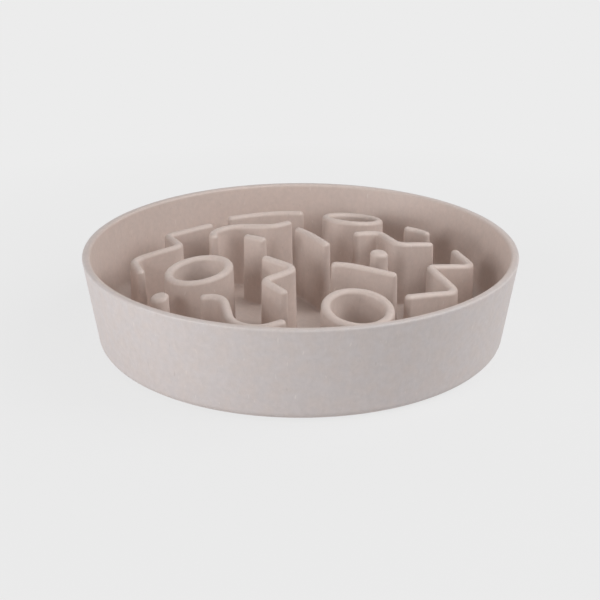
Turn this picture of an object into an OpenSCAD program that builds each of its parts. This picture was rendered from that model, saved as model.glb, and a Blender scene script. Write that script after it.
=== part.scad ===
// Slow feeder bowl: a round bowl whose floor carries a maze of upright walls.
// The origin is the middle of the base, on the surface that the bowl rests on.
// +Z is up, -Y is the near side of the bowl and +X is to the right of it.

/* [Bowl] */
// Outside diameter of the rim
rim_diameter = 280; // [264:1:320]
// Height from the surface to the top of the rim
bowl_height = 60; // [52:1:80]
// How far the side leans outwards between the surface and the rim
side_spread = 8; // [4:0.5:12]
// Thickness of the side
side_thickness = 5; // [3.5:0.1:6]
// Radius of the outer edge of the rim
rim_round = 1.2; // [0.6:0.1:1.4]
// Radius of the inner edge of the rim
rim_inner_round = 2; // [0.6:0.1:2]
// Radius of the outer edge round the base
base_corner = 6; // [3:0.5:9]
// Radius of the hollow corner between the side and the floor
floor_corner = 9; // [5:0.5:12]
// Height of the floor inside the bowl above the surface
floor_height = 10.5; // [9:0.5:16]
// Thickness of the floor
floor_thickness = 4.5; // [3.5:0.1:6]

/* [Underside] */
// Width of the flat ring that the bowl stands on
stand_ring_width = 14; // [12:0.5:20]
// Radius of the corner inside the stand ring
recess_corner = 2; // [1:0.25:3]
// How far the rubber feet lift the stand ring off the surface
foot_lift = 1; // [0.5:0.1:2]

/* [Rubber feet] */
// Diameter of a rubber foot
foot_diameter = 9; // [6:0.5:11]
// Depth of the socket that holds a foot
foot_socket_depth = 1.5; // [1:0.1:2.5]
// Gap round a foot in its socket
foot_clearance = 0.15; // [0.1:0.05:0.3]
// Bevel round the lower edge of a foot
foot_bevel = 0.5; // [0.2:0.1:0.8]

/* [Maze walls] */
// Width of a wall below its rounded upper edges
wall_width = 5.7; // [4:0.1:6.5]
// Width of the flat that the rounded edges leave along the top of a wall
top_land = 0.5; // [0.3:0.1:2]
// Slope of each face of a wall, so that the mould lets go
draft_angle = 1; // [0.5:0.25:3]
// Radius of the hollow corner at the foot of the walls
foot_round = 2; // [1:0.25:3]
// Radius of a tight bend along the middle of the wall
zigzag_bend = 4; // [3:0.25:5]
// Least radius on the inside of a bend
inner_bend = 0.5; // [0.4:0.1:1]
// How far the middle of the maze stays below the rim
crown_gap = 0.4; // [0.2:0.1:6]
// Radius of the dome that the tops of the walls follow
crown_radius = 496; // [350:2:800]
// Width of the lane between the maze and the hollow corner of the side
outer_lane = 9; // [6:0.5:14]

/* [Rings and pegs] */
// Outside diameter of a round well
ring_diameter = 43.5; // [36:0.5:46]
// Diameter of a round peg at its top
peg_diameter = 11.6; // [8:0.2:14]

/* [Hidden] */

moulding_colour = [0.70, 0.64, 0.60];
rubber_colour = [0.22, 0.21, 0.20];

// Circles are drawn this finely
$fn = 96;
// Largest angle between neighbouring points of a bend, an edge or a round end
bend_step = 15;
edge_step = 30;
// Steps round a well and round a peg
ring_steps = 48;
peg_steps = 28;
// Steps along the curves of the bowl's cross-section
corner_steps = 8;
recess_steps = 4;
rim_steps = 6;
// Longest straight stretch between two points of a wall
span_limit = 14;

// Sizes that follow from the ones above
rim_radius = rim_diameter / 2;
base_radius = rim_radius - side_spread;
side_slope = side_spread / (bowl_height - rim_round);
side_tilt = atan(side_slope);
floor_radius = outer_radius(floor_height) - side_thickness - floor_corner;
maze_radius = floor_radius - outer_lane;
crown_height = bowl_height - crown_gap;
wall_half = wall_width / 2;
top_round = (wall_width - top_land) / 2;
draft_flare = tan(draft_angle) * (crown_height - floor_height);
recess_height = floor_height - floor_thickness;
stand_outer_radius = base_radius - base_corner;
stand_inner_radius = stand_outer_radius - stand_ring_width;
foot_count = 6;
foot_circle_radius = (stand_outer_radius + stand_inner_radius) / 2;
foot_height = foot_lift + foot_socket_depth;
// Turn from one foot to the next
foot_turn = 360 / foot_count;

// Plans of the walls: each row is x, y and, for a wide bend, its radius,
// all as shares of the maze radius. The first and last rows are the tips,
// and a bend without a radius of its own is a tight one.
zigzag_left_shares = [
    [-0.565, 0.631],
    [-0.840, 0.479],
    [-0.726, 0.174, 0.054],
    [-1.006, 0.057, 0.075],
    [-0.920, -0.189]
];
zigzag_centre_shares = [
    [-0.215, -0.168],
    [-0.021, -0.345, 0.057],
    [-0.204, -0.484],
    [-0.079, -0.635]
];
zigzag_right_shares = [
    [0.933, 0.199],
    [1.016, -0.042, 0.072],
    [0.742, -0.179],
    [0.872, -0.467, 0.070],
    [0.567, -0.615]
];
arch_left_shares = [
    [-0.526, 0.269],
    [-0.592, 0.574, 0.145],
    [-0.172, 0.431, 0.073],
    [-0.063, 0.544]
];
wave_front_shares = [
    [-0.545, -0.621],
    [-0.423, -0.619, 0.096],
    [-0.363, -0.899, 0.150],
    [-0.218, -0.965, 0.158],
    [-0.077, -0.903]
];
wave_right_shares = [
    [0.327, 0.276],
    [0.488, 0.358, 0.045],
    [0.587, 0.135, 0.054],
    [0.809, 0.251]
];
curved_back_shares = [
    [-0.479, 0.826],
    [-0.172, 0.971, 0.470],
    [0.019, 0.917]
];
curved_centre_shares = [
    [-0.021, 0.357],
    [0.056, 0.231, 0.072],
    [0.161, 0.023]
];
curved_right_shares = [
    [0.173, -0.274],
    [0.269, -0.274, 0.352],
    [0.542, -0.364]
];
short_left_shares = [
    [-0.338, 0.232],
    [-0.212, 0.128]
];
short_back_right_shares = [
    [0.666, 0.599],
    [0.732, 0.578, 0.090],
    [0.817, 0.510]
];
ring_left_shares = [-0.579, -0.271];
ring_back_shares = [0.340, 0.740];
ring_front_shares = [0.304, -0.761];
peg_left_shares = [-0.773, -0.560];
peg_right_shares = [0.460, -0.065];

// Outer radius of the side at a height
function outer_radius(height) = base_radius + side_slope * height;

// Height of the top of the maze at a place
function crown(place) = crown_height - (place * place) / (2 * crown_radius);

function unit(v) = v / norm(v);
function facing(angle) = [cos(angle), sin(angle)];
function arc(centre, radius, start, end, steps) =
    [for (i = [0:steps]) centre + radius * facing(start + (end - start) * i / steps)];

// One cross-section of a wall: a place on its middle line, the angle that its
// left side faces, the bend radius, and where an inner corner of that bend lies
function straight_station(place, heading) = [place, heading + 90, 0, 0, [0, 0], [0, 0], 0];

// Stations round one bend, from corner b between neighbours a and c
function bend_stations(a, b, c, radius) =
    let (
        back = unit(a - b),
        ahead = unit(c - b),
        half = acos(back * ahead) / 2,
        inward = unit(back + ahead),
        centre = b + inward * radius / sin(half),
        turn = sign(cross(-back, ahead)),
        heading = atan2(-back[1], -back[0]),
        sweep = 180 - 2 * half,
        steps = ceil(sweep / bend_step)
    )
    [for (i = [0:steps])
        let (out = heading - turn * 90 + turn * sweep * i / steps)
        [centre + radius * facing(out), out, radius, turn, b, inward, half]];

// The point beside a station: side is 1 for left and -1 for right
function beside(station, side, reach) =
    station[2] == 0
    ? station[0] + side * reach * facing(station[1])
    : side == station[3]
        ? let (
            pivot_reach = max(station[2], reach + inner_bend),
            pivot = station[4] + station[5] * pivot_reach / sin(station[6])
        )
        pivot + (pivot_reach - reach) * facing(station[1])
        : station[0] + reach * facing(station[1]);

// Stations between the ends of two neighbouring bends
function span_stations(from, to) =
    let (
        gap = to - from,
        heading = atan2(gap[1], gap[0]),
        steps = ceil(norm(gap) / span_limit)
    )
    steps < 2 ? [] : [for (i = [1:steps - 1]) straight_station(from + gap * i / steps, heading)];

// All the stations of a wall, whose two round ends lie inside its tips
function wall_stations(shares) =
    let (
        corners = [for (row = shares) [row[0], row[1]] * maze_radius],
        last = len(corners) - 1,
        start = corners[0] + unit(corners[1] - corners[0]) * wall_half,
        end = corners[last] + unit(corners[last - 1] - corners[last]) * wall_half,
        first_heading = atan2(corners[1][1] - corners[0][1], corners[1][0] - corners[0][0]),
        last_heading = atan2(corners[last][1] - corners[last - 1][1],
            corners[last][0] - corners[last - 1][0]),
        bends = [for (i = [1:1:last - 1])
            bend_stations(corners[i - 1], corners[i], corners[i + 1],
                len(shares[i]) > 2 ? shares[i][2] * maze_radius : zigzag_bend)],
        count = len(bends),
        groups = concat([[straight_station(start, first_heading)]], bends,
            [[straight_station(end, last_heading)]])
    )
    [for (i = [0:len(groups) - 1])
        each (i == 0 ? groups[0]
            : concat(span_stations(groups[i - 1][len(groups[i - 1]) - 1][0], groups[i][0][0]),
                groups[i]))];

// Half widths of a wall from its foot to its top, each with its height: a
// height above the floor first, then depths below the dome
function foot_levels(half) =
    [for (a = [0:edge_step:90])
        [half + draft_flare + foot_round * (1 - sin(a)), floor_height + foot_round * (1 - cos(a))]];
function top_levels(half) =
    [for (a = [0:edge_step:90])
        [half - top_round * (1 - cos(a)), top_round * (1 - sin(a))]];

// A point lifted to its level: the foot stands on the floor, and the top lies
// below the dome over the wall's middle line, so that it is level across the wall
function at_foot(place, level) = [place[0], place[1], level[1]];
function at_top(place, level, middle) = [place[0], place[1], crown(middle) - level[1]];

// Angles of the points round the end of a wall, between its two sides
function end_angles(heading) =
    [for (a = [90 - bend_step:-bend_step:bend_step - 90]) heading + a];

// The closed outline of a wall at a distance from its middle line
function wall_outline(stations, reach) =
    let (last = len(stations) - 1)
    concat(
        [for (s = stations) beside(s, 1, reach)],
        [for (a = end_angles(stations[last][1] - 90)) stations[last][0] + reach * facing(a)],
        [for (i = [last:-1:0]) beside(stations[i], -1, reach)],
        [for (a = end_angles(stations[0][1] + 90)) stations[0][0] + reach * facing(a)]
    );

// The place on the middle line that each point of the outline belongs to
function wall_middles(stations) =
    let (last = len(stations) - 1)
    concat(
        [for (s = stations) s[0]],
        [for (a = end_angles(0)) stations[last][0]],
        [for (i = [last:-1:0]) stations[i][0]],
        [for (a = end_angles(0)) stations[0][0]]
    );

// Sides of a solid whose levels are equal loops of points
function loop_sides(levels, count) =
    [for (k = [0:levels - 2]) for (i = [0:count - 1])
        let (j = (i + 1) % count, low = k * count, high = low + count)
        each [[low + i, low + j, high + j], [low + i, high + j, high + i]]];

// The faces that close one end of a wall, whose outline starts at point first:
// a strip between its two sides, and a fan in each round end
function wall_cap(first, m, ends) =
    let (right = first + 2 * m + ends - 1)
    concat(
        [for (i = [0:m - 2])
            each [[first + i, first + i + 1, right - i - 1], [first + i, right - i - 1, right - i]]],
        [for (i = [m:m + ends - 1]) [first + m - 1, first + i, first + i + 1]],
        [for (i = [0:ends - 2]) [right, right + 1 + i, right + 2 + i]],
        [[right, right + ends, first]]
    );

// A wall along a plan, standing on the floor and cut off by the dome
module maze_wall(shares) {
    stations = wall_stations(shares);
    m = len(stations);
    ends = len(end_angles(0));
    count = 2 * m + 2 * ends;
    middles = wall_middles(stations);
    feet = foot_levels(wall_half);
    tops = top_levels(wall_half);
    levels = len(feet) + len(tops);
    points = concat(
        [for (level = feet) for (p = wall_outline(stations, level[0])) at_foot(p, level)],
        [for (level = tops)
            let (outline = wall_outline(stations, level[0]))
            for (i = [0:count - 1]) at_top(outline[i], level, middles[i])]
    );
    polyhedron(points, concat(loop_sides(levels, count), wall_cap((levels - 1) * count, m, ends),
        [for (face = wall_cap(0, m, ends)) [face[2], face[1], face[0]]]), convexity = 8);
}

// A round well: a ring-shaped wall that holds food inside it
module ring_wall(shares) {
    centre = shares * maze_radius;
    middle = (ring_diameter - wall_width) / 2;
    feet = foot_levels(wall_half);
    tops = top_levels(wall_half);
    outward = concat([for (level = feet) [level[0], level[1], 0]],
        [for (level = tops) [level[0], level[1], 1]]);
    profile = concat(outward, [for (i = [len(outward) - 1:-1:0])
        [-outward[i][0], outward[i][1], outward[i][2]]]);
    count = len(profile);
    points = [for (s = [0:ring_steps - 1]) for (row = profile)
        let (
            out = facing(-360 * s / ring_steps),
            place = centre + (middle + row[0]) * out
        )
        row[2] == 1 ? at_top(place, row, centre + middle * out) : at_foot(place, row)];
    faces = [for (s = [0:ring_steps - 1]) for (i = [0:count - 1])
        let (j = (i + 1) % count, here = s * count, next = ((s + 1) % ring_steps) * count)
        each [[here + i, next + i, next + j], [here + i, next + j, here + j]]];
    polyhedron(points, faces, convexity = 8);
}

// A round peg, whose top follows the dome
module round_peg(shares) {
    centre = shares * maze_radius;
    feet = foot_levels(peg_diameter / 2);
    tops = top_levels(peg_diameter / 2);
    levels = len(feet) + len(tops);
    angles = [for (i = [0:peg_steps - 1]) -360 * i / peg_steps];
    points = concat(
        [for (level = feet) for (a = angles) at_foot(centre + level[0] * facing(a), level)],
        [for (level = tops) for (a = angles)
            let (place = centre + level[0] * facing(a))
            at_top(place, level, place)],
        [at_top(centre, [0, 0], centre)]
    );
    top = (levels - 1) * peg_steps;
    lid = [for (i = [0:peg_steps - 1]) [top + i, top + (i + 1) % peg_steps, top + peg_steps]];
    underside = [[for (i = [peg_steps - 1:-1:0]) i]];
    polyhedron(points, concat(loop_sides(levels, peg_steps), lid, underside), convexity = 4);
}

// Half of the bowl's cross-section, from the middle of the underside round
// the stand ring, up the side, over the rim and back to the middle of the floor
module bowl_profile() {
    // Centre of the base corner: one radius above the stand ring and inside the side
    base_centre = [
        outer_radius(foot_lift + base_corner) - base_corner / cos(side_tilt),
        foot_lift + base_corner
    ];
    outer_rim_level = bowl_height - rim_round;
    outer_rim_centre = [outer_radius(outer_rim_level) - rim_round, outer_rim_level];
    inner_rim_level = bowl_height - rim_inner_round;
    inner_rim_centre = [
        outer_radius(inner_rim_level) - side_thickness + rim_inner_round / cos(side_tilt),
        inner_rim_level
    ];
    floor_centre = [
        outer_radius(floor_height + floor_corner) - side_thickness - floor_corner / cos(side_tilt),
        floor_height + floor_corner
    ];
    recess_centre = [stand_inner_radius - recess_corner, recess_height - recess_corner];
    polygon(concat(
        [[0, recess_height]],
        arc(recess_centre, recess_corner, 90, 0, recess_steps),
        [[stand_inner_radius, foot_lift]],
        arc(base_centre, base_corner, -90, -side_tilt, corner_steps),
        arc(outer_rim_centre, rim_round, -side_tilt, 90, rim_steps),
        arc(inner_rim_centre, rim_inner_round, 90, 180 - side_tilt, rim_steps),
        arc(floor_centre, floor_corner, -side_tilt, -90, corner_steps),
        [[0, floor_height]]
    ));
}

// Middle of a foot's place on the stand ring, the first one half a turn step
// round from the right
function foot_place(i) = foot_circle_radius * facing((i - 0.5) * foot_turn);

module bowl_shell() color(moulding_colour) difference() {
    rotate_extrude() bowl_profile();
    for (i = [1:foot_count])
        translate(concat(foot_place(i), 0))
            cylinder(h = foot_height, r = foot_diameter / 2 + foot_clearance);
}

module rubber_foot(i) color(rubber_colour) translate(concat(foot_place(i), 0)) {
    cylinder(h = foot_bevel, r1 = foot_diameter / 2 - foot_bevel, r2 = foot_diameter / 2);
    translate([0, 0, foot_bevel]) cylinder(h = foot_height - foot_bevel, r = foot_diameter / 2);
}

module zigzag_wall_left() color(moulding_colour) maze_wall(zigzag_left_shares);
module zigzag_wall_centre() color(moulding_colour) maze_wall(zigzag_centre_shares);
module zigzag_wall_right() color(moulding_colour) maze_wall(zigzag_right_shares);
module arch_wall_left() color(moulding_colour) maze_wall(arch_left_shares);
module wave_wall_front() color(moulding_colour) maze_wall(wave_front_shares);
module wave_wall_right() color(moulding_colour) maze_wall(wave_right_shares);
module curved_wall_back() color(moulding_colour) maze_wall(curved_back_shares);
module curved_wall_centre() color(moulding_colour) maze_wall(curved_centre_shares);
module curved_wall_right() color(moulding_colour) maze_wall(curved_right_shares);
module short_wall_left() color(moulding_colour) maze_wall(short_left_shares);
module short_wall_back_right() color(moulding_colour) maze_wall(short_back_right_shares);
module ring_wall_left() color(moulding_colour) ring_wall(ring_left_shares);
module ring_wall_back() color(moulding_colour) ring_wall(ring_back_shares);
module ring_wall_front() color(moulding_colour) ring_wall(ring_front_shares);
module round_peg_left() color(moulding_colour) round_peg(peg_left_shares);
module round_peg_right() color(moulding_colour) round_peg(peg_right_shares);

bowl_shell();
zigzag_wall_left();
zigzag_wall_centre();
zigzag_wall_right();
arch_wall_left();
wave_wall_front();
wave_wall_right();
curved_wall_back();
curved_wall_centre();
curved_wall_right();
short_wall_left();
short_wall_back_right();
ring_wall_left();
ring_wall_back();
ring_wall_front();
round_peg_left();
round_peg_right();
rubber_foot(1);  // rubber_foot_1
rubber_foot(2);  // rubber_foot_2
rubber_foot(3);  // rubber_foot_3
rubber_foot(4);  // rubber_foot_4
rubber_foot(5);  // rubber_foot_5
rubber_foot(6);  // rubber_foot_6
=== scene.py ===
"""Slow feeder bowl: the moulded bowl with its maze of walls, its rubber feet and a pale studio."""

import math
from collections import namedtuple

import bmesh
import bpy
from bpy.props import FloatProperty, FloatVectorProperty, PointerProperty
from mathutils import Matrix, Vector


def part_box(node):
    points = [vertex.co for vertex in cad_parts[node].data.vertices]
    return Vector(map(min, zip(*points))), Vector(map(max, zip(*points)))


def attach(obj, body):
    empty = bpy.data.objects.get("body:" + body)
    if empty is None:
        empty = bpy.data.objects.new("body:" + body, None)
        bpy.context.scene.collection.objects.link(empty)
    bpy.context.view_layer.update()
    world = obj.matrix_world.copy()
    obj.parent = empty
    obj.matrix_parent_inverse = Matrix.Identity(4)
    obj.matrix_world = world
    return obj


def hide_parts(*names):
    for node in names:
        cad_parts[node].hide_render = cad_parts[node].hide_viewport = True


bl_info = {
    "name": "Slow Feeder Bowl",
    "version": (1, 0, 0),
    "blender": (4, 5, 0),
    "location": "View3D > Sidebar > Feeder Bowl",
    "description": "Builds a moulded slow feeder bowl, piece by piece, and the studio it stands in",
    "category": "Object",
}

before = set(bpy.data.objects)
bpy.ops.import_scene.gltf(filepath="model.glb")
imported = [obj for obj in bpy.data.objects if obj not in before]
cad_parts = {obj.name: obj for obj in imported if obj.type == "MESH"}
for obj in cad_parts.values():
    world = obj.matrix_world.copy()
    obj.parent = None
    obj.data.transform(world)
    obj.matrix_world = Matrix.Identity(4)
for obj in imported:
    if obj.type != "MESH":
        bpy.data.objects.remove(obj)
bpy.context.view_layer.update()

BODY = "root"
UP = Vector((0, 0, 1))
FULL_TURN = math.tau

# What the fixed frame says
BOWL_LOW, BOWL_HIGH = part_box("bowl_shell")
FLOOR_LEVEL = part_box("ring_wall_left")[0].z
FOOT_NODES = sorted(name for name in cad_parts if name.startswith("rubber_foot"))

# Plans of the walls: each row is x, y and, for a wide bend, its radius, as shares of the
# maze radius. The first and last rows are the tips, and a bend without a radius is a tight one.
ZIGZAG_SHARES = {
    "zigzag_wall_left": (
        (-0.565, 0.631), (-0.840, 0.479), (-0.726, 0.174, 0.054), (-1.006, 0.057, 0.075),
        (-0.920, -0.189)),
    "zigzag_wall_centre": (
        (-0.215, -0.168), (-0.021, -0.345, 0.057), (-0.204, -0.484), (-0.079, -0.635)),
    "zigzag_wall_right": (
        (0.933, 0.199), (1.016, -0.042, 0.072), (0.742, -0.179), (0.872, -0.467, 0.070),
        (0.567, -0.615)),
}
WAVE_SHARES = {
    "arch_wall_left": (
        (-0.526, 0.269), (-0.592, 0.574, 0.145), (-0.172, 0.431, 0.073), (-0.063, 0.544)),
    "wave_wall_front": (
        (-0.545, -0.621), (-0.423, -0.619, 0.096), (-0.363, -0.899, 0.150),
        (-0.218, -0.965, 0.158), (-0.077, -0.903)),
    "wave_wall_right": (
        (0.327, 0.276), (0.488, 0.358, 0.045), (0.587, 0.135, 0.054), (0.809, 0.251)),
}
CURVED_SHARES = {
    "curved_wall_back": ((-0.479, 0.826), (-0.172, 0.971, 0.470), (0.019, 0.917)),
    "curved_wall_centre": ((-0.021, 0.357), (0.056, 0.231, 0.072), (0.161, 0.023)),
    "curved_wall_right": ((0.173, -0.274), (0.269, -0.274, 0.352), (0.542, -0.364)),
}
SHORT_SHARES = {
    "short_wall_left": ((-0.338, 0.232), (-0.212, 0.128)),
    "short_wall_back_right": ((0.666, 0.599), (0.732, 0.578, 0.090), (0.817, 0.510)),
}
RING_SHARES = {
    "ring_wall_left": (-0.579, -0.271),
    "ring_wall_back": (0.340, 0.740),
    "ring_wall_front": (0.304, -0.761),
}
PEG_SHARES = {
    "round_peg_left": (-0.773, -0.560),
    "round_peg_right": (0.460, -0.065),
}

# How finely round shapes are divided
BOWL_STEPS = 288
RING_STEPS = 128
PEG_STEPS = 64
FOOT_STEPS = 48
EDGE_STEPS = 8
CORNER_STEPS = 14
BEND_STEP = math.radians(6)
BEVEL_STEPS = 4
SPAN_LIMIT = 0.008

# How close to its ends a straight stretch gets extra points, which keep its faces flat, the
# most of a short stretch that this takes up, and how many such gaps long a stretch of the
# bowl's section has to be to get them
SUPPORT_GAP = 0.0004
SUPPORT_SHARE = 0.25
SUPPORTED_GAPS = 6

SHARP_ANGLE = math.radians(40)
WELD = 1e-6

# Noises in the moulding, coarse to fine, and the grain's part in the shade and the relief
BEND_SCALE = 120.0
MOTTLING_SCALE = 130.0
CLOUD_SCALE = 330.0
GRAIN_SCALE = 1100.0
SMOOTH_DETAIL = 1.0
GRAIN_DETAIL = 3.0
GRAIN_ROUGHNESS = 0.65
GRAIN_IN_SHADE = 0.3
GRAIN_IN_RELIEF = 0.5

# How far fibres and flecks are drawn out: the smaller, the longer
FIBRE_STRETCH = 0.13
FLECK_STRETCH = 0.2

# Sets of fibres: the turn of each, the scale of its noise and the levels it fades in between
PALE_FIBRES = (((0.3, 0.1, 0.0), 1500.0, 0.64, 0.74), ((1.2, 0.4, 0.8), 1400.0, 0.64, 0.74))
DARK_FIBRES = (((-0.4, 0.3, 0.5), 1600.0, 0.65, 0.75), ((1.7, -0.5, 2.0), 1300.0, 0.65, 0.75))

# Sets of flecks: the turn, the scale of the cells, the reach in a cell and the share of cells
STRAW_FLECKS = ((0.9, -0.3, 0.4), 330.0, 0.15, 0.8)
HUSK_FLECKS = ((-0.7, 1.3, 0.2), 300.0, 0.14, 0.8)

# Levels between which a texture is stretched over its whole range
MOTTLING_LEVELS = (0.35, 0.65)
SHADE_LEVELS = (0.3, 1.0)
GLOSS_LEVELS = (0.3, 1.4)
DUST_LEVELS = (0.45, 0.75)
RUBBER_LEVELS = (0.3, 0.7)

# Scales of the noises in the rubber
DUST_SCALE = 300.0
RUBBER_SCALE = 1800.0

# Each softbox: degrees right of the camera, degrees above the floor, length of its side and
# the setting that holds its power
SOFTBOXES = {
    "softbox_left": (-60, 7, 0.4, "left_power"),
    "softbox_front": (-45, 25, 0.5, "front_power"),
    "softbox_near": (45, 45, 0.9, "near_power"),
    "softbox_side": (75, 25, 0.5, "side_power"),
    "softbox_right": (90, 45, 0.9, "right_power"),
    "softbox_back": (180, 50, 0.9, "back_power"),
}
LAMP_DISTANCE = 1.5
FLOOR_SIZE = 6.0
SENSOR_WIDTH = 36.0


def length(name, description, default):
    """A length in metres that a user can change"""
    return FloatProperty(name=name, description=description, default=default, unit="LENGTH",
                         precision=5)


def angle(name, description, degrees):
    """An angle that a user can change"""
    return FloatProperty(name=name, description=description, default=math.radians(degrees),
                         subtype="ANGLE")


def amount(name, description, default):
    """A plain number that a user can change"""
    return FloatProperty(name=name, description=description, default=default, precision=4)


def colour(name, description, default):
    """A linear colour that a user can change"""
    return FloatVectorProperty(name=name, description=description, default=default,
                               subtype="COLOR", size=3, min=0, max=1)


class BowlSizes(bpy.types.PropertyGroup):
    """Sizes of the bowl and its feet"""

    rim_radius: length("Rim radius", "Outside radius of the rim", BOWL_HIGH.x)
    height: length("Height", "Height of the rim above the surface", BOWL_HIGH.z)
    side_spread: length("Side spread", "How far the side leans outwards", 0.008)
    side_thickness: length("Side thickness", "Thickness of the side", 0.005)
    rim_round: length("Rim round", "Radius of the outer edge of the rim", 0.0012)
    rim_inner_round: length("Rim inner round", "Radius of the inner edge of the rim", 0.002)
    base_corner: length("Base corner", "Radius of the outer edge round the base", 0.006)
    floor_corner: length("Floor corner", "Radius between the side and the floor", 0.009)
    floor_thickness: length("Floor thickness", "Thickness of the floor", 0.0045)
    stand_ring_width: length("Stand ring", "Width of the ring under the bowl", 0.014)
    recess_corner: length("Recess corner", "Radius inside the stand ring", 0.002)
    stand_edge: length("Stand edge", "Round on the inner edge of the stand ring", 0.0006)
    foot_clearance: length("Foot gap", "Gap round a foot in its socket", 0.00015)
    foot_bevel: length("Foot bevel", "Round on the lower edge of a foot", 0.0005)


class MazeSizes(bpy.types.PropertyGroup):
    """Sizes of the walls, wells and pegs"""

    wall_width: length("Wall width", "Width of a wall below its rounded edges", 0.0057)
    draft: angle("Draft", "Slope of each face of a wall", 1)
    top_land: length("Top land", "Width of the flat left along the top of a wall", 0.0005)
    foot_round: length("Foot round", "Radius of the corner at the foot of the walls", 0.002)
    zigzag_bend: length("Zigzag bend", "Radius of the tight bends of the zigzags", 0.004)
    inner_bend: length("Inner bend", "Least radius on the inside of a bend", 0.0005)
    crown_gap: length("Crown gap", "How far the maze stays below the rim", 0.0004)
    crown_radius: length("Crown radius", "Radius of the dome over the maze", 0.496)
    outer_lane: length("Outer lane", "Lane between the maze and the side's corner", 0.009)
    ring_diameter: length("Well diameter", "Outside diameter of a round well", 0.0435)
    peg_diameter: length("Peg diameter", "Diameter of a peg at its top", 0.0116)


class MouldingFinish(bpy.types.PropertyGroup):
    """Colours and grain of the moulding and the rubber"""

    # The two body colours are painted light: the outside's paler, more neutral colour is painted
    # sheen, the white surroundings reflected on the side, and the inside's warmer colour carries
    # painted warm light bounced between the walls
    inside: colour("Inside", "Colour of the plant fibre inside the bowl", (0.645, 0.529, 0.476))
    outside: colour("Outside", "Colour of the polished outside", (0.585, 0.534, 0.527))
    warm: colour("Warm patch", "Colour of the warmer mottling", (0.605, 0.512, 0.468))
    pale_fibre: colour("Pale fibre", "Colour of the pale fibres", (0.82, 0.76, 0.72))
    dark_fibre: colour("Dark fibre", "Colour of the dark fibres", (0.40, 0.33, 0.29))
    speck: colour("Speck", "Colour of the scattered husk specks", (0.30, 0.235, 0.20))
    mottling: amount("Mottling", "Most of the warm patches that shows", 0.35)
    pale_share: amount("Pale share", "How strongly the pale fibres show", 0.06)
    dark_share: amount("Dark share", "How strongly the dark fibres show", 0.08)
    straw_share: amount("Straw share", "How strongly the pale flecks show", 0.37)
    husk_share: amount("Husk share", "How strongly the husk specks show", 0.24)
    shade: amount("Shade", "How far the clouds and grain darken and lighten", 0.06)
    rough: amount("Rough", "Roughness between the pale fibres", 0.62)
    polished: amount("Polished", "Roughness on the pale fibres", 0.50)
    specular: amount("Specular", "Strength of the surface's reflection", 1.0)
    bend: amount("Bend", "How far the fibres are pushed about", 0.004)
    relief: amount("Relief", "Strength of the moulding's relief", 0.25)
    relief_depth: length("Relief depth", "Depth of the moulding's relief", 0.00004)
    rubber: colour("Rubber", "Colour of the feet", (0.040, 0.038, 0.036))
    dust: colour("Dust", "Colour of the dust on the feet", (0.11, 0.10, 0.095))
    dust_share: amount("Dust share", "Most of the dust that shows", 0.25)
    rubber_polished: amount("Rubber polished", "Least roughness of the rubber", 0.70)
    rubber_rough: amount("Rubber rough", "Greatest roughness of the rubber", 0.85)
    rubber_relief: amount("Rubber relief", "Strength of the rubber's relief", 0.3)
    rubber_depth: length("Rubber depth", "Depth of the rubber's relief", 0.00005)


class Studio(bpy.types.PropertyGroup):
    """Camera, lamps and background"""

    camera_elevation: angle("Camera elevation", "Angle of the camera above the bowl", 22.275)
    camera_distance: length("Camera distance", "From the camera to its target", 0.7445)
    target_height: length("Target height", "Height of the point the camera looks at", 0.02023)
    target_side: length("Target side", "How far that point is to the right", -0.00033)
    focal_length: amount("Focal length", "In millimetres, on a 36 mm sensor", 67.286)
    backdrop: amount("Backdrop", "Brightness of the background", 0.8388)
    floor_share: amount("Floor share", "Share of the floor's brightness near the bowl that is lit",
                        0.11)
    floor_reach: length("Floor reach", "Distance at which the floor is plain backdrop", 0.5)
    floor_colour: amount("Floor colour", "Grey of the floor where it is lit", 0.80)
    world_strength: amount("Sky", "Strength of the light from all round", 0.09)
    left_power: amount("Left lamp", "Power of the low softbox on the left", 8.3)
    front_power: amount("Front lamp", "Power of the softbox at the front left", 5.7)
    near_power: amount("Near lamp", "Power of the large softbox at the front right", 4.4)
    side_power: amount("Side lamp", "Power of the low softbox on the right", 3.6)
    right_power: amount("Right lamp", "Power of the large softbox on the right", 8.6)
    back_power: amount("Back lamp", "Power of the high softbox behind the bowl", 2.0)


class FeederBowl(bpy.types.PropertyGroup):
    """All the settings of the bowl"""

    bowl: PointerProperty(type=BowlSizes)
    maze: PointerProperty(type=MazeSizes)
    finish: PointerProperty(type=MouldingFinish)
    studio: PointerProperty(type=Studio)


def settings():
    """The settings kept with the scene"""
    return bpy.context.scene.feeder_bowl


# Places and radii that follow from the sizes

def side_slope():
    """Outward lean of the side for each unit of height"""
    bowl = settings().bowl
    return bowl.side_spread / (bowl.height - bowl.rim_round)


def outer_radius(height):
    """Radius of the outside of the side at a height"""
    bowl = settings().bowl
    return bowl.rim_radius - bowl.side_spread + side_slope() * height


def maze_radius():
    """Radius of the circle that the plans of the walls are shares of"""
    bowl = settings().bowl
    floor_radius = outer_radius(FLOOR_LEVEL) - bowl.side_thickness - bowl.floor_corner
    return floor_radius - settings().maze.outer_lane


def crown_height():
    """Height of the dome over the middle of the maze"""
    return settings().bowl.height - settings().maze.crown_gap


def top_round():
    """Radius of the upper edges of the walls, wells and pegs"""
    maze = settings().maze
    return (maze.wall_width - maze.top_land) / 2


def plan_point(row):
    """Place on the floor of a row of shares"""
    return Vector(row[:2]) * maze_radius()


def facing(turn):
    """Unit vector on the floor at an angle"""
    return Vector((math.cos(turn), math.sin(turn)))


def arc(centre, radius, start, end, steps):
    """Points along an arc, from one angle to another"""
    return [centre + radius * facing(start + (end - start) * i / steps) for i in range(steps + 1)]


# Making and finishing meshes

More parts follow.
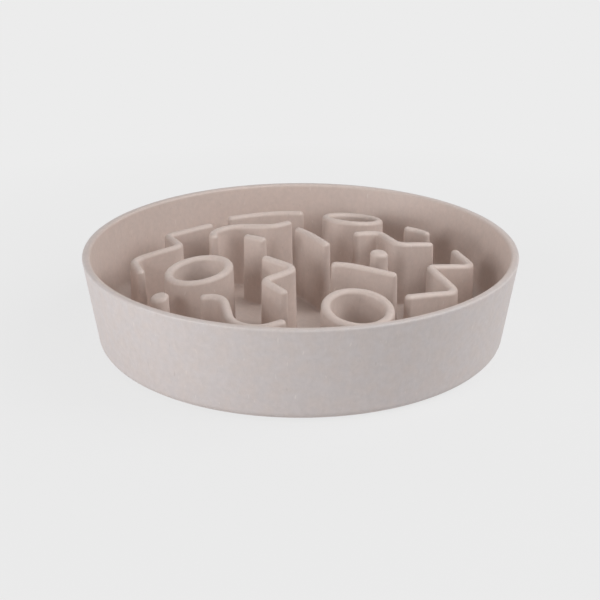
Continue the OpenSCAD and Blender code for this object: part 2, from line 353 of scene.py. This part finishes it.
def add_chain(bm, places, closed=False):
    """A chain of new vertices and edges through some places"""
    verts = [bm.verts.new(place) for place in places]
    for a, b in zip(verts, verts[1:]):
        bm.edges.new((a, b))
    if closed:
        bm.edges.new((verts[-1], verts[0]))
    return verts


def extrude_ring(bm, ring, places):
    """Extrudes a closed ring of vertices, moves the new ring to its places and returns it"""
    edges = [bm.edges.get((a, b)) for a, b in zip(ring, ring[1:] + ring[:1])]
    made = bmesh.ops.extrude_edge_only(bm, edges=edges)["geom"]
    new = {item for item in made if isinstance(item, bmesh.types.BMVert)}
    following = []
    for vert, place in zip(ring, places):
        partner = next(e.other_vert(vert) for e in vert.link_edges if e.other_vert(vert) in new)
        partner.co = place
        following.append(partner)
    return following


def spin_full(bm, centre, steps):
    """Spins everything in the mesh once round an upright axis"""
    bmesh.ops.spin(bm, geom=bm.verts[:] + bm.edges[:], cent=centre, axis=UP, dvec=(0, 0, 0),
                   angle=FULL_TURN, steps=steps, use_merge=True, use_duplicate=False)


def close_and_smooth(bm):
    """Welds the poles, turns the faces outwards and shades all but the sharp edges smooth"""
    bmesh.ops.remove_doubles(bm, verts=bm.verts, dist=WELD)
    bmesh.ops.recalc_face_normals(bm, faces=bm.faces)
    for face in bm.faces:
        face.smooth = True
    for edge in bm.edges:
        edge.smooth = edge.is_manifold and edge.calc_face_angle() < SHARP_ANGLE


def add_piece(bm, name, node, material):
    """Makes the finished mesh a piece that stands for a node of the frame"""
    mesh = bpy.data.meshes.new(name)
    bm.to_mesh(mesh)
    bm.free()
    mesh.materials.append(material)
    piece = bpy.data.objects.new(name, mesh)
    bpy.context.scene.collection.objects.link(piece)
    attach(piece, BODY)
    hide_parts(node)
    return piece


# The plan of a wall, as stations along its middle line

# A station's place, the angle its left side faces and, in a bend, the bend's radius,
# its turn (1 is left), its corner, the way into the corner and half of its angle
Station = namedtuple("Station", "place left radius turn corner inward half")


def straight_station(place, heading):
    """A station where the wall runs straight"""
    return Station(place, heading + math.pi / 2, 0, 0, None, None, None)


def heading_of(vector):
    """Angle of a vector on the floor"""
    return math.atan2(vector.y, vector.x)


def bend_stations(before, corner, after, radius):
    """Stations round one bend of the middle line"""
    back = (before - corner).normalized()
    ahead = (after - corner).normalized()
    half = math.acos(back.dot(ahead)) / 2
    inward = (back + ahead).normalized()
    centre = corner + inward * radius / math.sin(half)
    turn = math.copysign(1, (-back).cross(ahead))
    first = heading_of(-back) - turn * math.pi / 2
    sweep = math.pi - 2 * half
    steps = math.ceil(sweep / BEND_STEP)
    outs = [first + turn * sweep * i / steps for i in range(steps + 1)]
    return [Station(centre + radius * facing(out), out, radius, turn, corner, inward, half)
            for out in outs]


def beside(station, side, reach):
    """The point beside a station: side is 1 for left and -1 for right"""
    out = facing(station.left)
    if not station.radius:
        return station.place + side * reach * out
    if side != station.turn:
        return station.place + reach * out
    pivot_reach = max(station.radius, reach + settings().maze.inner_bend)
    pivot = station.corner + station.inward * pivot_reach / math.sin(station.half)
    return pivot + (pivot_reach - reach) * out


def span_stations(start, end):
    """Stations between two bends, with one close to each end to keep the faces flat"""
    gap = end - start
    support = min(SUPPORT_GAP / gap.length, SUPPORT_SHARE)
    steps = max(1, math.ceil(gap.length / SPAN_LIMIT))
    shares = [support] + [i / steps for i in range(1, steps)] + [1 - support]
    return [straight_station(start + gap * share, heading_of(gap)) for share in shares]


def wall_stations(plan):
    """All the stations of a wall, whose round ends lie inside its tips"""
    maze = settings().maze
    corners = [plan_point(row) for row in plan]
    start = corners[0] + (corners[1] - corners[0]).normalized() * maze.wall_width / 2
    end = corners[-1] + (corners[-2] - corners[-1]).normalized() * maze.wall_width / 2
    groups = [[straight_station(start, heading_of(corners[1] - corners[0]))]]
    for i in range(1, len(corners) - 1):
        radius = plan[i][2] * maze_radius() if len(plan[i]) > 2 else maze.zigzag_bend
        groups.append(bend_stations(corners[i - 1], corners[i], corners[i + 1], radius))
    groups.append([straight_station(end, heading_of(corners[-1] - corners[-2]))])
    stations = list(groups[0])
    for group in groups[1:]:
        stations += span_stations(stations[-1].place, group[0].place) + group
    return stations


def end_turns():
    """Turns of the points round the end of a wall, between its two sides"""
    steps = round(math.pi / BEND_STEP)
    return [math.pi / 2 - math.pi * i / steps for i in range(1, steps)]


def wall_outline(stations, reach):
    """The closed outline of a wall at a distance from its middle line"""
    turns = end_turns()
    first, last = stations[0], stations[-1]
    lefts = [beside(station, 1, reach) for station in stations]
    rights = [beside(station, -1, reach) for station in reversed(stations)]
    far_end = [last.place + reach * facing(last.left - math.pi / 2 + turn) for turn in turns]
    near_end = [first.place + reach * facing(first.left + math.pi / 2 + turn) for turn in turns]
    return lefts + far_end + rights + near_end


def wall_middles(stations):
    """For each point of the outline, the place on the middle line that it belongs to"""
    places = [station.place for station in stations]
    ends = len(end_turns())
    return places + [places[-1]] * ends + places[::-1] + [places[0]] * ends


# The section of a wall

def wall_levels(half):
    """Half widths of a wall and their heights, from its foot to the middle of its top"""
    maze = settings().maze
    crown = crown_height()
    flare = math.tan(maze.draft) * (crown - FLOOR_LEVEL)
    quarter = [math.pi / 2 * i / EDGE_STEPS for i in range(EDGE_STEPS + 1)]
    feet = [(half + flare + maze.foot_round * (1 - math.sin(a)),
             FLOOR_LEVEL + maze.foot_round * (1 - math.cos(a))) for a in quarter]
    tops = [(half - top_round() * (1 - math.cos(a)),
             crown - top_round() * (1 - math.sin(a))) for a in quarter]
    share = SUPPORT_GAP / (tops[0][1] - feet[-1][1])
    slope = Vector(tops[0]) - Vector(feet[-1])
    supports = [tuple(Vector(feet[-1]) + slope * share), tuple(Vector(tops[0]) - slope * share)]
    inner = (half - top_round()) / 2
    return feet + supports + tops + [(inner, crown), (0, crown)]


def settled(height, middle):
    """A height lowered for the dome over a place: the top follows the dome along the wall but
    stays level across it, and the sides stretch to follow"""
    maze = settings().maze
    low = FLOOR_LEVEL + maze.foot_round
    high = crown_height() - top_round()
    share = min(max((height - low) / (high - low), 0), 1)
    return height - share * middle.length_squared / (2 * maze.crown_radius)


def lofted_wall(plan):
    """A wall along a plan, made by drawing its foot and extruding it level by level"""
    bm = bmesh.new()
    stations = wall_stations(plan)
    middles = wall_middles(stations)
    levels = wall_levels(settings().maze.wall_width / 2)

    def loop(reach, height):
        return [place.to_3d() + UP * settled(height, middle)
                for place, middle in zip(wall_outline(stations, reach), middles)]

    foot = add_chain(bm, loop(*levels[0]), closed=True)
    ring = foot
    for reach, height in levels[1:]:
        ring = extrude_ring(bm, ring, loop(reach, height))
    extrude_ring(bm, foot, loop(0, FLOOR_LEVEL))
    close_and_smooth(bm)
    return bm


def spun_ring(centre):
    """A round well, spun from the section of its wall"""
    bm = bmesh.new()
    maze = settings().maze
    middle = (maze.ring_diameter - maze.wall_width) / 2
    levels = wall_levels(maze.wall_width / 2)
    section = levels + [(-reach, height) for reach, height in reversed(levels[:-1])]
    add_chain(bm, [(centre.x + middle + reach, centre.y, height) for reach, height in section],
              closed=True)
    spin_full(bm, centre.to_3d(), RING_STEPS)
    for vert in bm.verts:
        out = (vert.co.xy - centre).normalized()
        vert.co.z = settled(vert.co.z, centre + out * middle)
    close_and_smooth(bm)
    return bm


def spun_peg(centre):
    """A round peg, spun from half of its section"""
    bm = bmesh.new()
    levels = [(0, FLOOR_LEVEL)] + wall_levels(settings().maze.peg_diameter / 2)
    add_chain(bm, [(centre.x + reach, centre.y, height) for reach, height in levels])
    spin_full(bm, centre.to_3d(), PEG_STEPS)
    for vert in bm.verts:
        vert.co.z = settled(vert.co.z, vert.co.xy)
    close_and_smooth(bm)
    return bm


# The bowl

def supported(points):
    """A section with a point added close to each end of its long straight stretches"""
    result = [points[0]]
    for a, b in zip(points, points[1:]):
        run = b - a
        if run.length > SUPPORTED_GAPS * SUPPORT_GAP:
            step = run.normalized() * SUPPORT_GAP
            result += [a + step, b - step]
        result.append(b)
    return result


def bowl_section():
    """Half of the bowl's section, from the middle of the underside to the middle of the floor"""
    bowl = settings().bowl
    tilt = math.atan(side_slope())
    stand_level = BOWL_LOW.z
    recess_level = FLOOR_LEVEL - bowl.floor_thickness
    stand_outer = bowl.rim_radius - bowl.side_spread - bowl.base_corner
    stand_inner = stand_outer - bowl.stand_ring_width
    base_level = stand_level + bowl.base_corner
    base_centre = Vector((outer_radius(base_level) - bowl.base_corner / math.cos(tilt), base_level))
    outer_rim = Vector((bowl.rim_radius - bowl.rim_round, bowl.height - bowl.rim_round))
    inner_rim_level = bowl.height - bowl.rim_inner_round
    inner_rim_inset = bowl.side_thickness - bowl.rim_inner_round / math.cos(tilt)
    inner_rim = Vector((outer_radius(inner_rim_level) - inner_rim_inset, inner_rim_level))
    floor_level = FLOOR_LEVEL + bowl.floor_corner
    inset = bowl.side_thickness + bowl.floor_corner / math.cos(tilt)
    floor_centre = Vector((outer_radius(floor_level) - inset, floor_level))
    recess_centre = Vector((stand_inner - bowl.recess_corner, recess_level - bowl.recess_corner))
    edge_centre = Vector((stand_inner + bowl.stand_edge, stand_level + bowl.stand_edge))
    right = math.pi / 2
    return supported(
        [Vector((0, recess_level))]
        + arc(recess_centre, bowl.recess_corner, right, 0, EDGE_STEPS)
        + arc(edge_centre, bowl.stand_edge, math.pi, 3 * right, EDGE_STEPS)
        + arc(base_centre, bowl.base_corner, -right, -tilt, CORNER_STEPS)
        + arc(outer_rim, bowl.rim_round, -tilt, right, EDGE_STEPS)
        + arc(inner_rim, bowl.rim_inner_round, right, math.pi - tilt, EDGE_STEPS)
        + arc(floor_centre, bowl.floor_corner, -tilt, -right, CORNER_STEPS)
        + [Vector((0, FLOOR_LEVEL))])


def add_foot_disc(bm, node, clearance=0):
    """Adds a disc as thick as a foot and wider by a clearance all round, and returns its middle"""
    low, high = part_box(node)
    radius = (high.x - low.x) / 2 + clearance
    middle = (low + high) / 2
    bmesh.ops.create_cone(bm, cap_ends=True, segments=FOOT_STEPS, radius1=radius,
                          radius2=radius, depth=high.z - low.z,
                          matrix=Matrix.Translation(middle))
    return middle


def cut_sockets(piece):
    """Cuts the sockets of the feet into the stand ring"""
    bm = bmesh.new()
    for node in FOOT_NODES:
        add_foot_disc(bm, node, settings().bowl.foot_clearance)
    cutter_mesh = bpy.data.meshes.new("socket_cutter")
    bm.to_mesh(cutter_mesh)
    bm.free()
    cutter = bpy.data.objects.new("socket_cutter", cutter_mesh)
    bpy.context.scene.collection.objects.link(cutter)
    cut = piece.modifiers.new("sockets", "BOOLEAN")
    cut.operation = "DIFFERENCE"
    cut.solver = "EXACT"
    cut.object = cutter
    bpy.context.view_layer.update()
    evaluated = piece.evaluated_get(bpy.context.evaluated_depsgraph_get())
    bm = bmesh.new()
    bm.from_mesh(evaluated.to_mesh())
    evaluated.to_mesh_clear()
    piece.modifiers.remove(cut)
    bpy.data.objects.remove(cutter)
    bpy.data.meshes.remove(cutter_mesh)
    close_and_smooth(bm)
    bm.to_mesh(piece.data)
    bm.free()


# Materials

def add_node(tree, kind, links=None, **values):
    """Adds a shader node, sets its values and links or sets its inputs"""
    node = tree.nodes.new(kind)
    for name, value in values.items():
        setattr(node, name, value)
    for name, value in (links or {}).items():
        if isinstance(value, bpy.types.NodeSocket):
            tree.links.new(value, node.inputs[name])
        else:
            node.inputs[name].default_value = value
    return node


def mix_colour(tree, share, a, b):
    """Mixes two colours, each a socket or a plain colour, by a share"""
    node = add_node(tree, "ShaderNodeMix", data_type="RGBA")
    for index, value in ((0, share), (6, a), (7, b)):
        if isinstance(value, bpy.types.NodeSocket):
            tree.links.new(value, node.inputs[index])
        elif index == 0:
            node.inputs[index].default_value = value
        else:
            node.inputs[index].default_value = (*value, 1)
    return node.outputs[2]


def remap(tree, value, low, high, to_low=0.0, to_high=1.0):
    """Stretches part of a value's range over another"""
    return add_node(tree, "ShaderNodeMapRange", {
        "Value": value, "From Min": low, "From Max": high, "To Min": to_low, "To Max": to_high,
    }, clamp=True).outputs["Result"]


def noise(tree, place, scale, detail=2.0, roughness=0.5):
    """Plain noise at a scale"""
    return add_node(tree, "ShaderNodeTexNoise", {
        "Vector": place, "Scale": scale, "Detail": detail, "Roughness": roughness,
    }).outputs["Fac"]


def math_node(tree, operation, a, b):
    """A sum, product or the like of two values"""
    node = add_node(tree, "ShaderNodeMath", operation=operation)
    for index, value in enumerate((a, b)):
        if isinstance(value, bpy.types.NodeSocket):
            tree.links.new(value, node.inputs[index])
        else:
            node.inputs[index].default_value = value
    return node.outputs["Value"]


def drawn_out(tree, place, turn, stretch):
    """A place for a texture that is drawn out along one axis, then turned"""
    return add_node(tree, "ShaderNodeMapping", {
        "Vector": place, "Rotation": turn, "Scale": (1.0, 1.0, stretch),
    }).outputs["Vector"]


def fibres(tree, place, sets):
    """Short fibres: the stronger of two noises that are drawn out along one axis"""
    made = []
    for turn, scale, low, high in sets:
        drawn = drawn_out(tree, place, turn, FIBRE_STRETCH)
        made.append(remap(tree, noise(tree, drawn, scale, SMOOTH_DETAIL), low, high))
    return math_node(tree, "MAXIMUM", *made)


def flecks(tree, place, turn, scale, reach, share):
    """Scattered flecks: the middles of a share of the cells of a pattern, drawn out along one
    axis, some fainter than others"""
    cells = add_node(tree, "ShaderNodeTexVoronoi", {
        "Vector": drawn_out(tree, place, turn, FLECK_STRETCH), "Scale": scale})
    middle = remap(tree, cells.outputs["Distance"], reach, reach / 2)
    lot = add_node(tree, "ShaderNodeSeparateColor", {"Color": cells.outputs["Color"]})
    strength = remap(tree, lot.outputs["Red"], 1 - share, 1.0)
    return math_node(tree, "MULTIPLY", middle, strength)


def painted_sheen_share(tree, place):
    """1 on the outside of the bowl's side, where the painted sheen colour goes, and 0 inside it,
    where the colour with painted warm bounce light goes, with a soft change over the rim
    """
    bowl = settings().bowl
    flat = add_node(tree, "ShaderNodeVectorMath", {0: place, 1: (1, 1, 0)}, operation="MULTIPLY")
    radius = add_node(tree, "ShaderNodeVectorMath", {0: flat.outputs["Vector"]},
                      operation="LENGTH").outputs["Value"]
    height = add_node(tree, "ShaderNodeSeparateXYZ", {"Vector": place}).outputs["Z"]
    lean = math_node(tree, "MULTIPLY", height, side_slope())
    base_radius = bowl.rim_radius - bowl.side_spread
    return remap(tree, math_node(tree, "SUBTRACT", radius, lean),
                 base_radius - bowl.side_thickness, base_radius)


def bent_place(tree, place, reach):
    """A place that a slow noise pushes about, which bends what is drawn on it a little"""
    push = add_node(tree, "ShaderNodeTexNoise", {
        "Vector": place, "Scale": BEND_SCALE, "Detail": SMOOTH_DETAIL})
    pushed = add_node(tree, "ShaderNodeMix", {0: reach}, data_type="VECTOR")
    tree.links.new(place, pushed.inputs[4])
    tree.links.new(push.outputs["Color"], pushed.inputs[5])
    return pushed.outputs[1]


def layered(tree, base, layers):
    """A colour with layers over it: each has a pattern, its strength and its colour"""
    for pattern, strength, tint in layers:
        base = mix_colour(tree, math_node(tree, "MULTIPLY", pattern, strength), base, tint)
    return base


def new_material(name):
    """A material with its node tree, its shader and the place on the object"""
    material = bpy.data.materials.new(name)
    material.use_nodes = True
    tree = material.node_tree
    place = add_node(tree, "ShaderNodeTexCoord").outputs["Object"]
    return material, tree, tree.nodes["Principled BSDF"], place


def add_relief(tree, shader, height, strength, distance):
    """Gives a shader a fine relief"""
    bump = add_node(tree, "ShaderNodeBump", {
        "Height": height, "Strength": strength, "Distance": distance})
    tree.links.new(bump.outputs["Normal"], shader.inputs["Normal"])


def moulding_material():
    """Moulded plant fibre: matte, warm and pale, with fibres, specks and a faint mottling"""
    name = "moulded_fibre"
    if name in bpy.data.materials:
        return bpy.data.materials[name]
    finish = settings().finish
    material, tree, shader, place = new_material(name)
    bent = bent_place(tree, place, finish.bend)
    # Painted light: the outside gets a paler, more neutral colour as painted sheen, and the inside
    # a warmer one as painted bounce light
    body = mix_colour(tree, painted_sheen_share(tree, place), finish.inside, finish.outside)
    mottling = remap(tree, noise(tree, place, MOTTLING_SCALE), *MOTTLING_LEVELS, 0.0,
                     finish.mottling)
    pale = fibres(tree, bent, PALE_FIBRES)
    dark = fibres(tree, bent, DARK_FIBRES)
    fibrous = layered(tree, mix_colour(tree, mottling, body, finish.warm), (
        (pale, finish.pale_share, finish.pale_fibre),
        (dark, finish.dark_share, finish.dark_fibre),
        (flecks(tree, bent, *STRAW_FLECKS), finish.straw_share, finish.pale_fibre),
        (flecks(tree, bent, *HUSK_FLECKS), finish.husk_share, finish.speck)))
    grain = noise(tree, place, GRAIN_SCALE, GRAIN_DETAIL, GRAIN_ROUGHNESS)
    cloud = noise(tree, bent, CLOUD_SCALE)
    clouded = math_node(tree, "ADD", math_node(tree, "MULTIPLY", grain, GRAIN_IN_SHADE), cloud)
    shade = remap(tree, clouded, *SHADE_LEVELS, 1 - finish.shade, 1 + finish.shade)
    graded = add_node(tree, "ShaderNodeVectorMath", {0: fibrous}, operation="SCALE")
    tree.links.new(shade, graded.inputs["Scale"])
    tree.links.new(graded.outputs["Vector"], shader.inputs["Base Color"])
    rough = remap(tree, math_node(tree, "ADD", grain, pale), *GLOSS_LEVELS, finish.rough,
                  finish.polished)
    tree.links.new(rough, shader.inputs["Roughness"])
    height = math_node(tree, "ADD", math_node(tree, "MULTIPLY", grain, GRAIN_IN_RELIEF),
                       math_node(tree, "SUBTRACT", pale, dark))
    add_relief(tree, shader, height, finish.relief, finish.relief_depth)
    shader.inputs["Specular IOR Level"].default_value = finish.specular
    return material


def rubber_material():
    """Dull dark rubber with a fine grain"""
    name = "foot_rubber"
    if name in bpy.data.materials:
        return bpy.data.materials[name]
    finish = settings().finish
    material, tree, shader, place = new_material(name)
    grain = noise(tree, place, RUBBER_SCALE, GRAIN_DETAIL)
    dust = remap(tree, noise(tree, place, DUST_SCALE), *DUST_LEVELS)
    dusty = layered(tree, finish.rubber, ((dust, finish.dust_share, finish.dust),))
    tree.links.new(dusty, shader.inputs["Base Color"])
    rough = remap(tree, grain, *RUBBER_LEVELS, finish.rubber_polished, finish.rubber_rough)
    tree.links.new(rough, shader.inputs["Roughness"])
    add_relief(tree, shader, grain, finish.rubber_relief, finish.rubber_depth)
    return material


def add_moulding(bm, node):
    """Adds a moulded piece of the maze"""
    add_piece(bm, "moulded_" + node, node, moulding_material())


class BowlOperator(bpy.types.Operator):
    """Adds the bowl: side, rim, floor, stand ring and the sockets of the feet"""

    bl_idname = "feeder.bowl"
    bl_label = "Bowl"

    def execute(self, context):
        bm = bmesh.new()
        add_chain(bm, [(p.x, 0, p.y) for p in bowl_section()])
        spin_full(bm, (0, 0, 0), BOWL_STEPS)
        close_and_smooth(bm)
        piece = add_piece(bm, "moulded_bowl", "bowl_shell", moulding_material())
        cut_sockets(piece)
        return {"FINISHED"}


class ZigzagWallsOperator(bpy.types.Operator):
    """Adds the three zigzag walls"""

    bl_idname = "feeder.zigzag_walls"
    bl_label = "Zigzag walls"

    def execute(self, context):
        for node, plan in ZIGZAG_SHARES.items():
            add_moulding(lofted_wall(plan), node)
        return {"FINISHED"}


class WaveWallsOperator(bpy.types.Operator):
    """Adds the arch and the two waves"""

    bl_idname = "feeder.wave_walls"
    bl_label = "Wave walls"

    def execute(self, context):
        for node, plan in WAVE_SHARES.items():
            add_moulding(lofted_wall(plan), node)
        return {"FINISHED"}


class CurvedWallsOperator(bpy.types.Operator):
    """Adds the three slightly curved walls"""

    bl_idname = "feeder.curved_walls"
    bl_label = "Curved walls"

    def execute(self, context):
        for node, plan in CURVED_SHARES.items():
            add_moulding(lofted_wall(plan), node)
        return {"FINISHED"}


class ShortWallsOperator(bpy.types.Operator):
    """Adds the two short walls"""

    bl_idname = "feeder.short_walls"
    bl_label = "Short walls"

    def execute(self, context):
        for node, plan in SHORT_SHARES.items():
            add_moulding(lofted_wall(plan), node)
        return {"FINISHED"}


class RingWallsOperator(bpy.types.Operator):
    """Adds the three round wells"""

    bl_idname = "feeder.ring_walls"
    bl_label = "Round wells"

    def execute(self, context):
        for node, row in RING_SHARES.items():
            add_moulding(spun_ring(plan_point(row)), node)
        return {"FINISHED"}


class RoundPegsOperator(bpy.types.Operator):
    """Adds the two round pegs"""

    bl_idname = "feeder.round_pegs"
    bl_label = "Round pegs"

    def execute(self, context):
        for node, row in PEG_SHARES.items():
            add_moulding(spun_peg(plan_point(row)), node)
        return {"FINISHED"}


class RubberFeetOperator(bpy.types.Operator):
    """Adds the rubber feet in their sockets"""

    bl_idname = "feeder.rubber_feet"
    bl_label = "Rubber feet"

    def execute(self, context):
        for number, node in enumerate(FOOT_NODES, start=1):
            bm = bmesh.new()
            middle = add_foot_disc(bm, node)
            lower = [e for e in bm.edges if all(v.co.z < middle.z for v in e.verts)]
            bmesh.ops.bevel(bm, geom=lower, offset=settings().bowl.foot_bevel,
                            affect="EDGES", segments=BEVEL_STEPS, profile=0.5, material=-1)
            close_and_smooth(bm)
            add_piece(bm, f"foot_pad_{number}", node, rubber_material())
        return {"FINISHED"}


# The studio

def add_lamp(name, right, above, size, power, target):
    """A square softbox that faces the target, from so many degrees right of the camera and so
    many above the floor"""
    turn = math.radians(right)
    rise = math.radians(above)
    away = Vector((math.sin(turn) * math.cos(rise), -math.cos(turn) * math.cos(rise),
                   math.sin(rise)))
    lamp = bpy.data.lights.new(name, "AREA")
    lamp.shape = "SQUARE"
    lamp.size = size
    lamp.energy = power
    holder = bpy.data.objects.new(name, lamp)
    holder.location = target + away * LAMP_DISTANCE
    holder.rotation_euler = (-away).to_track_quat("-Z", "Y").to_euler()
    bpy.context.scene.collection.objects.link(holder)


def seen_rays(tree):
    """1 for the rays that should see the plain backdrop: the camera's, mirrored or clear"""
    rays = add_node(tree, "ShaderNodeLightPath")
    mirrored = math_node(tree, "MAXIMUM", rays.outputs["Is Camera Ray"],
                         rays.outputs["Is Glossy Ray"])
    return math_node(tree, "MAXIMUM", mirrored, rays.outputs["Is Transmission Ray"])


def backdrop_world(studio):
    """An even sky that lights the bowl, and shows the camera the colour of the backdrop"""
    world = bpy.data.worlds.new("studio_sky")
    world.use_nodes = True
    tree = world.node_tree
    light = tree.nodes["Background"]
    light.inputs["Color"].default_value = (1, 1, 1, 1)
    light.inputs["Strength"].default_value = studio.world_strength
    seen = add_node(tree, "ShaderNodeBackground", {
        "Color": (1, 1, 1, 1), "Strength": studio.backdrop})
    mix = add_node(tree, "ShaderNodeMixShader", {"Fac": seen_rays(tree)})
    tree.links.new(light.outputs["Background"], mix.inputs[1])
    tree.links.new(seen.outputs["Background"], mix.inputs[2])
    tree.links.new(mix.outputs["Shader"], tree.nodes["World Output"].inputs["Surface"])
    bpy.context.scene.world = world


def floor_material(studio):
    """A pale floor: part of what the camera sees is its own even colour, so it stays plain
    and still takes the bowl's shadow"""
    material = bpy.data.materials.new("studio_floor")
    material.use_nodes = True
    tree = material.node_tree
    tree.nodes.remove(tree.nodes["Principled BSDF"])
    grey = studio.floor_colour
    lit = add_node(tree, "ShaderNodeBsdfDiffuse", {"Color": (grey, grey, grey, 1)})
    even = add_node(tree, "ShaderNodeEmission", {
        "Color": (1, 1, 1, 1), "Strength": studio.backdrop})
    place = add_node(tree, "ShaderNodeTexCoord").outputs["Object"]
    radius = add_node(tree, "ShaderNodeVectorMath", {0: place}, operation="LENGTH")
    plain = remap(tree, radius.outputs["Value"], settings().bowl.rim_radius, studio.floor_reach,
                  1 - studio.floor_share, 1.0)
    share = math_node(tree, "MULTIPLY", seen_rays(tree), plain)
    mix = add_node(tree, "ShaderNodeMixShader", {"Fac": share})
    tree.links.new(lit.outputs["BSDF"], mix.inputs[1])
    tree.links.new(even.outputs["Emission"], mix.inputs[2])
    tree.links.new(mix.outputs["Shader"], tree.nodes["Material Output"].inputs["Surface"])
    return material


class StudioOperator(bpy.types.Operator):
    """Adds the floor, the sky, the lamps and the camera"""

    bl_idname = "feeder.studio"
    bl_label = "Studio"

    def execute(self, context):
        studio = settings().studio
        bm = bmesh.new()
        bmesh.ops.create_grid(bm, x_segments=1, y_segments=1, size=FLOOR_SIZE)
        mesh = bpy.data.meshes.new("studio_floor")
        bm.to_mesh(mesh)
        bm.free()
        mesh.materials.append(floor_material(studio))
        floor = bpy.data.objects.new("studio_floor", mesh)
        context.scene.collection.objects.link(floor)
        backdrop_world(studio)
        target = Vector((0, 0, settings().bowl.height / 2))
        for name, (right, above, size, power) in SOFTBOXES.items():
            add_lamp(name, right, above, size, getattr(studio, power), target)
        camera = bpy.data.cameras.new("studio_camera")
        camera.lens = studio.focal_length
        camera.sensor_width = SENSOR_WIDTH
        holder = bpy.data.objects.new("studio_camera", camera)
        look = Vector((0, math.cos(studio.camera_elevation), -math.sin(studio.camera_elevation)))
        aim = Vector((studio.target_side, 0, studio.target_height))
        holder.location = aim - look * studio.camera_distance
        holder.rotation_euler = look.to_track_quat("-Z", "Y").to_euler()
        context.scene.collection.objects.link(holder)
        context.scene.camera = holder
        context.scene.view_settings.view_transform = "Standard"
        return {"FINISHED"}


class FeederPanel(bpy.types.Panel):
    """Lists the makers of the pieces and the studio"""

    bl_idname = "FEEDER_PT_pieces"
    bl_label = "Feeder Bowl"
    bl_space_type = "VIEW_3D"
    bl_region_type = "UI"
    bl_category = "Feeder Bowl"

    def draw(self, context):
        for operator in OPERATORS:
            self.layout.operator(operator.bl_idname)
        for group in ("bowl", "maze", "finish", "studio"):
            box = self.layout.box()
            box.label(text=group.title())
            owner = getattr(settings(), group)
            for name in owner.__annotations__:
                box.prop(owner, name)


OPERATORS = (
    StudioOperator, BowlOperator, ZigzagWallsOperator, WaveWallsOperator, CurvedWallsOperator,
    ShortWallsOperator, RingWallsOperator, RoundPegsOperator, RubberFeetOperator,
)
CLASSES = (BowlSizes, MazeSizes, MouldingFinish, Studio, FeederBowl, *OPERATORS, FeederPanel)


def register():
    """Registers the classes and gives the scene its settings"""
    for item in CLASSES:
        bpy.utils.register_class(item)
    bpy.types.Scene.feeder_bowl = PointerProperty(type=FeederBowl)


def unregister():
    """Takes the settings and the classes away again"""
    del bpy.types.Scene.feeder_bowl
    for item in reversed(CLASSES):
        bpy.utils.unregister_class(item)


def main():
    """Makes the studio and every piece"""
    register()
    bpy.ops.feeder.studio()
    bpy.ops.feeder.bowl()
    bpy.ops.feeder.zigzag_walls()
    bpy.ops.feeder.wave_walls()
    bpy.ops.feeder.curved_walls()
    bpy.ops.feeder.short_walls()
    bpy.ops.feeder.ring_walls()
    bpy.ops.feeder.round_pegs()
    bpy.ops.feeder.rubber_feet()


if __name__ == "__main__":
    main()
